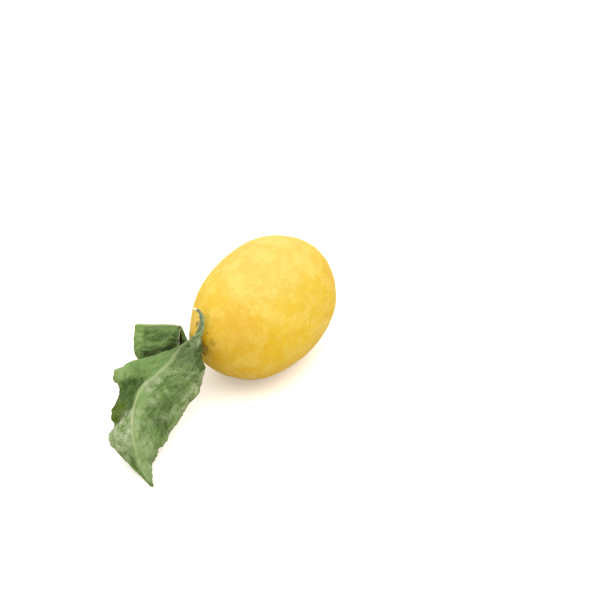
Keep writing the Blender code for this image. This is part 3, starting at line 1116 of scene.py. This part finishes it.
    def build(self, effects: Effects) -> Piece:
        """Makes the leaf: a closed skin round its middle surface, with veins, wrinkles and rims."""
        plain, places, shares = self.surface()
        along, across = self.lengths(plain)
        blade = smooth_step(places - self.petiole_rows, 0.0, self.blade_rows)[:, None] + 0 * along
        tip = smooth_step(places[-1] - places, 0.0, self.tip_rows)[:, None]
        normal = unit(np.cross(np.gradient(plain, axis=0), np.gradient(plain, axis=1)))
        veins = self.veins(along, across, blade)
        outward = np.abs(shares)[None, :]
        flat = self.packed(along, across)
        free = blade * tip * smooth_step(np.abs(across), *self.loose)
        waves = self.waves(plain, flat, free, outward)
        grid = (places[:, None] + 0 * along, shares[None, :] + 0 * along)
        lift = MM * self.marked("lift", *grid)
        relief = waves + lift + veins * self.vein_height - 0.25 * self.vein_height
        surface = plain + normal * relief[:, :, None]
        ridge = bell(np.abs(across), 0.0, self.rib_radius)
        thin = 1 - (1 - self.rim_share) * smooth_step(outward, self.thin_from, 1.0) * blade
        petiole_share = np.clip(1 - places / 3, 0, 1)[:, None]
        under = surface + self.half(normal, ridge, thin)
        upper = surface - self.half(normal, ridge * (petiole_share - 0.25), thin)
        rings = np.concatenate([under, upper[:, ::-1]], axis=1)
        stalk = plain[:, None, plain.shape[1] // 2]
        slim = (self.petiole_slim * smooth_step(places, *self.slim_rows))[:, None, None]
        rings += slim * (stalk - rings)
        below = plain + self.half(normal, ridge, 1.0)
        above = plain - self.half(normal, ridge * petiole_share, 1.0)
        rings = fit_to(rings, np.concatenate([below, above], axis=1), self.node)
        rings[:, :, 2] = np.maximum(rings[:, :, 2], self.clearance)
        masks = self.masks(grid, flat, outward, np.abs(across))
        masks |= {
            # The wrinkles' height, which the material lays on as painted shade and painted light.
            "rise": 0.5 + waves / (2 * self.wrinkle),
            "vein": veins,
            "margin": smooth_step(outward, *self.margin) * blade,
        }
        painted = {}
        for label, mask in masks.items():
            mask = np.clip(mask, 0.0, 1.0)
            painted[label] = np.concatenate([mask, mask[:, ::-1]], axis=1)
        painted["column"] = np.concatenate([0 * along, 0 * along + 1], axis=1)
        piece = skin(self.name, rings, painted)
        self.lay_flat(piece, along, across)
        dress(piece, self.node, "leaf", self.under.build(effects), self.upper.build(effects))
        self.part_sides(piece)
        return piece

    def half(self, normal: Array, ridge: Array, thin: Array | float) -> Array:
        """From the middle surface to one face: half the thickness, and the midrib's ridge."""
        return normal * (self.thickness / 2 * thin + ridge * self.rib_height)[:, :, None]

    def masks(
        self, grid: tuple[Array, Array], flat: Array, outward: Array, distance: Array
    ) -> dict[str, Array]:
        """What is painted on the blade: the patches and the midrib's line.

        Args:
            grid: Each point's place along the leaf in rows, and its share of the half width.
            flat: The points laid flat.
            outward: Each column's share of the half width, never below 0.
            distance: Each point's distance from the midrib.

        Returns:
            One mask for each label.
        """
        places, shares = grid
        along, aside = (
            0.16 * noise_at(flat, 3.2 * MM, seed) + 0.08 * noise_at(flat, 1.2 * MM, seed)
            for seed in (1.0, 6.0)
        )
        far, wide = self.smudging
        ragged = (places + far * along, shares + wide * aside * smooth_step(outward, 0.0, 0.2))
        # The dark patches are mostly painted shade, and the light ones mostly painted light.
        made = {label: self.marked(label, *ragged) for label in ("bloom", "dark", "light", "sere")}
        rib_place, rib_strength, rib_width = np.array(self.marks.rib).T
        line = places[:, 0]
        width = np.interp(line, rib_place, rib_width)[:, None] * MM
        rib = bell(distance / width, 0.0, 1.0) * np.interp(line, rib_place, rib_strength)[:, None]
        made["rib"] = np.maximum(rib, self.marked("cream", places, shares))
        return made

    @staticmethod
    def lay_flat(piece: Piece, along: Array, across: Array) -> None:
        """Makes the piece's UV map the leaf laid flat, in tenths of a metre."""
        rows, columns = along.shape
        wide = np.concatenate([across, across[:, ::-1], across[:, :1]], axis=1)

        def laid(uv: Array) -> Array:
            """The flat places for places on the grid."""
            column = np.clip(np.rint(uv[:, 0] * 2 * columns), 0, 2 * columns).astype(int)
            row = np.clip(np.rint(uv[:, 1] * (rows - 1)), 0, rows - 1).astype(int)
            return np.stack([wide[row, column], along[row, 0]], axis=1) * 10

        remap(piece, laid)

    @staticmethod
    def part_sides(piece: Piece) -> None:
        """Gives the faces of the upper side their own material."""
        which = np.empty(len(piece.data.vertices))
        piece.data.attributes["column"].data.foreach_get("value", which)
        for face in piece.data.polygons:
            upper = sum(which[v] for v in face.vertices) > 0.5 * len(face.vertices)
            face.material_index = (Side.UPPER if upper else Side.UNDER).value


# One row is a cross-section, from the foot of the petiole to the tip of the blade.
FRONT_ROWS = (
    Row((0.0, 0.0, 50.2)),
    Row((-4.7, -3.6, 47.0)),
    Row((-11.3, -1.9, 45.0), (-12.0, -0.8, 43.2), (-6.6, -4.8, 40.8), 0.2, 0.8),
    Row((-18.0, -0.1, 42.6), (-20.9, 6.7, 38.0), (-9.2, -5.8, 34.0), 1.0, 2.0),
    Row((-25.4, 0.1, 39.7), (-30.7, 26.3, 25.0), (-10.4, -8.6, 28.0), 3.2, 3.5),
    Row((-33.6, 2.4, 36.3), (-36.1, 24.1, 21.0), (-14.6, -9.6, 23.0), 2.7, 4.5),
    Row((-40.3, 4.2, 33.5), (-39.8, 20.0, 18.0), (-18.9, -9.9, 19.0), 3.5, 5.0),
    Row((-46.3, 3.8, 29.5), (-47.0, 18.4, 14.5), (-25.5, -8.5, 15.0), 2.5, 4.5),
    Row((-50.4, 2.3, 25.5), (-51.2, 13.7, 11.0), (-32.5, -8.8, 12.0), 1.5, 3.5),
    Row((-54.1, -0.1, 21.0), (-58.1, 9.7, 14.0), (-41.0, -9.4, 8.5), 1.5, 2.5),
    Row((-58.0, -4.5, 14.5), (-60.3, 5.7, 9.0), (-49.6, -9.7, 5.5), 1.2, 1.5),
    Row((-61.2, -10.3, 7.5), (-61.3, -4.6, 5.0), (-57.5, -13.0, 3.2), 0.5, 0.5),
    Row((-62.6, -17.2, 0.7), (-62.8, -16.9, 0.7), (-62.4, -17.5, 0.7)),
)
REAR_ROWS = (
    Row((0.0, 0.0, 34.8)),
    Row((0.7, 1.6, 34.4)),
    Row((1.0, 3.2, 34.8), (2.2, 4.2, 31.0), (0.6, 3.8, 33.8), 0.3, 0.0),
    Row((3.0, 6.7, 36.3), (5.2, 9.8, 23.0), (1.8, 6.6, 34.8), 0.6, 0.0),
    Row((4.9, 9.9, 37.0), (8.6, 17.1, 15.5), (3.9, 9.2, 35.4), 1.5, 0.0),
    Row((4.5, 11.2, 37.0), (8.8, 19.4, 14.0), (0.0, 8.1, 25.7), 2.0, 1.8),
    Row((3.9, 13.2, 37.0), (8.9, 22.6, 13.0), (-2.4, 9.3, 22.0), 2.8, 3.5),
    Row((1.5, 18.5, 36.0), (8.1, 27.7, 12.0), (-5.9, 15.7, 17.0), 3.2, 4.0),
    Row((-0.4, 24.2, 34.2), (7.3, 33.3, 10.0), (-8.3, 21.8, 14.0), 2.2, 3.2),
    Row((-1.9, 30.6, 31.8), (6.3, 37.0, 8.0), (-7.0, 27.1, 13.0), 1.4, 1.8),
    Row((-0.7, 32.5, 24.0), (5.8, 38.0, 5.0), (-3.0, 31.0, 10.0), 0.9, 0.7),
    Row((2.0, 35.9, 13.0), (5.9, 38.9, 3.0), (1.5, 35.5, 6.0), 1.0, 0.8),
    Row((6.7, 39.1, 0.7), (6.9, 38.9, 0.7), (6.4, 39.2, 0.7)),
)


FRONT_MARKS = Marks(
    bloom=patches(
        (9.1, -0.5, 1.15, 0.6, 0.9, 1.4),
        (5.6, 0.9, 0.7, 0.2, 0.6),
        (6.6, 0.2, 0.6, 0.08, 0.25),
        (10.7, 0.3, 1.0, 0.6, 0.42),
        (9.5, 0.45, 0.4, 0.2, 0.4),
        (5.4, 0.04, 0.75, 0.1, 0.6),
        (4.4, 0.5, 0.3, 0.45, 0.4),
        (2.6, 0.25, 1.3, 0.9, 0.08),
        (6.4, 0.78, 0.9, 0.2, 0.4),
        (0.8, 0.0, 1.6, 2.0, 0.6),
        (6.6, 0.92, 2.6, 0.07, 0.45),
        (7.8, 0.6, 0.35, 0.3, 0.35, -1.5),
        (6.0, 0.6, 6.0, 0.6, 0.12),
    ),
    dark=patches(
        (0.8, -0.7, 1.4, 0.6, 0.6),
        (6.3, -0.38, 1.05, 0.36, 1.0),
        (6.3, -0.92, 0.75, 0.14, 1.0),
        (7.5, -0.4, 0.8, 0.34, 0.85, 1.0),
        (5.3, 0.38, 0.5, 0.26, 0.4),
        (10.6, -0.35, 0.45, 0.22, 0.7),
        (8.4, 0.65, 0.3, 0.22, 0.6, 1.8),
        (2.8, 0.5, 1.1, 0.8, 0.85),
        (6.0, -0.55, 3.5, 0.5, 0.2),
        (7.3, 0.45, 0.9, 0.24, 0.3),
        (3.6, 0.85, 0.8, 0.3, 0.35),
        (6.3, 0.55, 0.5, 0.1, 0.3, -1.2),
        (9.1, 0.3, 0.35, 0.14, 0.25),
    ),
    light=patches(
        (4.1, -0.5, 1.0, 0.5, 0.3),
        (4.8, 0.45, 0.22, 0.2, 0.4, -1.0),
        (7.7, 0.06, 1.8, 0.07, 0.7),
        (10.4, 0.3, 1.1, 0.55, 0.34),
        (5.9, -0.02, 0.8, 0.06, 0.6),
        (4.7, -0.88, 0.45, 0.18, 1.0),
    ),
    sere=patches(
        (7.6, -0.78, 0.95, 0.44, 1.0),
        (12.0, 0.0, 0.35, 1.2, 0.6),
        (4.95, -0.93, 0.4, 0.12, 0.25),
    ),
    cream=(),
    lift=patches(
        (6.35, -0.5, 0.9, 0.36, -2.0),
        (9.3, -0.6, 0.9, 0.5, 1.6, 1.2),
        (5.2, 0.55, 0.5, 0.3, -0.8),
        (8.4, 0.65, 0.25, 0.22, -0.7, 1.8),
        (6.5, 0.12, 1.2, 0.1, -0.5),
    ),
    bites=patches(
        (9.65, 1.0, 0.14, 0.3, 1.3),
        (5.5, -1.0, 0.2, 0.3, 0.9),
        (7.2, -1.0, 0.4, 0.3, -1.6),
        (8.3, -1.0, 0.12, 0.3, 1.4),
        (10.25, -1.0, 0.55, 0.3, 2.0),
        (5.15, -1.0, 0.1, 0.3, 0.7),
        (4.75, -1.0, 0.22, 0.3, -1.3),
    ),
    rib=(
        (0.0, 0.1, 0.6),
        (2.8, 0.2, 0.6),
        (3.4, 0.42, 0.95),
        (4.6, 0.45, 0.9),
        (5.3, 0.3, 0.6),
        (6.0, 0.58, 0.34),
        (8.8, 0.64, 0.34),
        (9.6, 0.5, 0.32),
        (10.6, 0.15, 0.3),
        (12.0, 0.05, 0.3),
    ),
)
REAR_MARKS = Marks(
    bloom=patches((6.0, 0.0, 7.0, 1.4, 0.1), (4.2, 0.5, 0.8, 0.5, 0.15)),
    dark=patches(
        (7.8, 0.64, 0.75, 0.1, 1.0),
        (8.4, 0.88, 0.5, 0.16, 0.6),
        (5.7, 0.58, 0.45, 0.28, 0.6),
        (6.5, 0.58, 0.6, 0.06, 0.7),
        (8.3, 0.2, 0.4, 0.08, 0.45),
        (10.2, 0.5, 0.5, 0.6, 0.35),
        (6.0, -0.5, 8.0, 0.6, 0.35),
        (7.2, 0.28, 0.9, 0.04, 0.5),
        (3.0, 0.0, 1.1, 1.6, 0.9),
        (3.8, -0.5, 1.3, 0.55, 1.0),
    ),
    light=patches(
        (7.4, 0.4, 0.9, 0.05, 0.6),
        (9.25, 0.42, 1.0, 0.5, 1.0),
        (8.9, 0.2, 0.5, 0.16, 0.6),
        (7.3, 0.55, 0.6, 0.05, 0.4),
        (5.6, 0.15, 0.9, 0.08, 0.35),
        (7.0, 0.02, 3.0, 0.05, 0.5),
    ),
    sere=patches(
        (9.3, 0.6, 0.5, 0.2, 0.2),
        (8.8, 0.8, 0.5, 0.14, 0.45),
        (3.0, 0.0, 1.1, 1.6, 0.5),
        (3.8, -0.5, 1.3, 0.55, 0.4),
    ),
    cream=patches(
        (4.35, 0.9, 0.35, 0.5, 1.0),
        (4.9, 1.0, 0.45, 0.24, 1.0),
        (5.6, 1.0, 0.6, 0.16, 1.0),
        (6.4, 1.0, 0.5, 0.09, 1.0),
    ),
    lift=patches(
        (7.8, 0.64, 0.8, 0.08, -0.7),
        (7.4, 0.45, 1.0, 0.1, 0.5),
        (6.5, 0.58, 0.7, 0.06, -0.6),
        (6.4, 0.5, 0.25, 0.4, 0.6, -1.0),
        (8.3, 0.22, 0.5, 0.08, -0.6),
    ),
    bites=(),
    rib=(
        (0.0, 0.0, 0.5),
        (4.5, 0.0, 0.5),
        (5.4, 0.16, 0.34),
        (9.0, 0.16, 0.3),
        (12.0, 0.05, 0.3),
    ),
)

UNDERSIDE = LeafFinish(
    "leaf_underside",
    body=srgb(84, 109, 53),
    deep=srgb(73, 97, 44),
    light=srgb(120, 144, 88),
    dark=srgb(38, 60, 12),
    vein=srgb(136, 152, 108),
    rib=srgb(150, 157, 116),
    turn=-0.45,
)
UPPER_SIDE = LeafFinish(
    "leaf_upper_side",
    body=srgb(82, 98, 40),
    deep=srgb(70, 86, 34),
    light=srgb(110, 126, 58),
    dark=srgb(48, 60, 22),
    vein=srgb(120, 130, 72),
    rib=srgb(130, 134, 84),
    turn=-0.45,
    roughness=0.55,
)
# The rear leaf's rib cream is brighter than its own colour: painted light, so that the pale margin line stays
# bright inside the shaded fold.
REAR_UNDERSIDE = LeafFinish(
    "rear_leaf_underside",
    body=srgb(68, 93, 43),
    deep=srgb(67, 91, 38),
    light=srgb(112, 138, 76),
    dark=srgb(36, 58, 8),
    vein=srgb(130, 148, 98),
    rib=srgb(242, 238, 200),
    turn=0.25,
)
REAR_UPPER_SIDE = LeafFinish(
    "rear_leaf_upper_side",
    body=srgb(84, 94, 40),
    deep=srgb(72, 82, 34),
    light=srgb(106, 118, 56),
    dark=srgb(50, 58, 22),
    vein=srgb(116, 126, 70),
    rib=srgb(242, 238, 200),
    turn=0.25,
    roughness=0.55,
)


# ---- studio


def way_to(azimuth: float, elevation: float) -> Vector:
    """The way from the object to something that looks at it, from its two angles."""
    flat = cos(elevation)
    return Vector((sin(azimuth) * flat, -cos(azimuth) * flat, sin(elevation)))


@dataclass
class Studio:
    """The pale floor, the soft light and the camera."""

    azimuth: float = radians(-54.7)
    elevation: float = radians(45.0)
    distance: float = 0.900
    lens: float = 113.9
    aside: float = 17.06 * MM
    below: float = 3.13 * MM
    floor_size: float = 6.0
    floor_drop: float = 0.1 * MM
    floor_colour: Colour = (1.12, 1.06, 0.96)
    # What the floor throws back at the fruit is less than the camera sees: the belly stays dark.
    floor_bounce: Colour = (0.56, 0.53, 0.38)
    floor_roughness: float = 0.9
    floor_gloss: float = 0.1
    light_azimuth: float = radians(125.0)
    light_elevation: float = radians(80.0)
    light_distance: float = 1.3
    light_size: float = 2.0
    light_watts: float = 16.0
    light_colour: Colour = (1.0, 0.99, 0.97)
    sky_strength: float = 1.6

    def add_camera(self) -> None:
        """Looks down on the stem end, with the fruit a little left of and below the middle."""
        back = way_to(self.azimuth, self.elevation)
        right = Vector((cos(self.azimuth), sin(self.azimuth), 0))
        up = back.cross(right)
        low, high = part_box("fruit")
        middle = Vector((0, 0, (low.z + high.z) / 2))
        target = middle + right * self.aside + up * self.below
        deselect()
        bpy.ops.object.camera_add(location=target + back * self.distance)
        camera = active()
        camera.rotation_mode = "QUATERNION"
        camera.rotation_quaternion = Matrix((right, up, back)).transposed().to_quaternion()
        camera.data.lens = self.lens
        camera.data.clip_start = 0.01
        bpy.context.scene.camera = camera

    def add_floor(self) -> None:
        """A wide white floor."""
        deselect()
        bpy.ops.mesh.primitive_plane_add(size=self.floor_size, location=(0, 0, -self.floor_drop))
        floor = active()
        floor.name = "floor"
        made, tree, shader = new_material("floor_white")
        seen = tree.add("ShaderNodeLightPath").outputs["Is Camera Ray"]
        tree.set(shader.inputs["Base Color"], tree.mix(seen, self.floor_bounce, self.floor_colour))
        shader.inputs["Roughness"].default_value = self.floor_roughness
        shader.inputs["Specular IOR Level"].default_value = self.floor_gloss
        floor.data.materials.append(made)

    def add_light(self) -> None:
        """A soft box high behind the object."""
        back = way_to(self.light_azimuth, self.light_elevation)
        deselect()
        bpy.ops.object.light_add(type="AREA", location=back * self.light_distance)
        light = active()
        light.name = light.data.name = "top_box"
        light.rotation_mode = "QUATERNION"
        light.rotation_quaternion = back.to_track_quat("Z", "Y")
        light.data.shape = "SQUARE"
        light.data.size = self.light_size
        light.data.energy = self.light_watts
        light.data.color = self.light_colour

    def build(self) -> None:
        """Sets up the studio."""
        scene = bpy.context.scene
        scene.view_settings.view_transform = "Standard"
        scene.world = bpy.data.worlds.new("studio")
        scene.world.use_nodes = True
        sky = scene.world.node_tree.nodes["Background"]
        sky.inputs["Color"].default_value = (1.0, 1.0, 1.0, 1.0)
        sky.inputs["Strength"].default_value = self.sky_strength
        self.add_floor()
        self.add_light()
        self.add_camera()
        LOG.info("studio ready")


def main() -> None:
    """Builds the lemon piece by piece, and then the studio round it."""
    logging.basicConfig(level=logging.INFO, format="%(name)s %(message)s")
    effects = Effects()
    fruit = Fruit()
    fruit.build(effects)
    calyx = Calyx()
    calyx.build(fruit, effects)
    Twig().build(fruit, calyx.seat + calyx.height, effects)
    Leaf("front_leaf", "leaf_front", FRONT_ROWS, FRONT_MARKS, UNDERSIDE, UPPER_SIDE, 1.3, 0.8).build(effects)
    rear = (REAR_ROWS, REAR_MARKS, REAR_UNDERSIDE, REAR_UPPER_SIDE)
    Leaf("rear_leaf", "leaf_rear", *rear, 5.9, 4.0).build(effects)
    Studio().build()


if __name__ == "__main__":
    main()
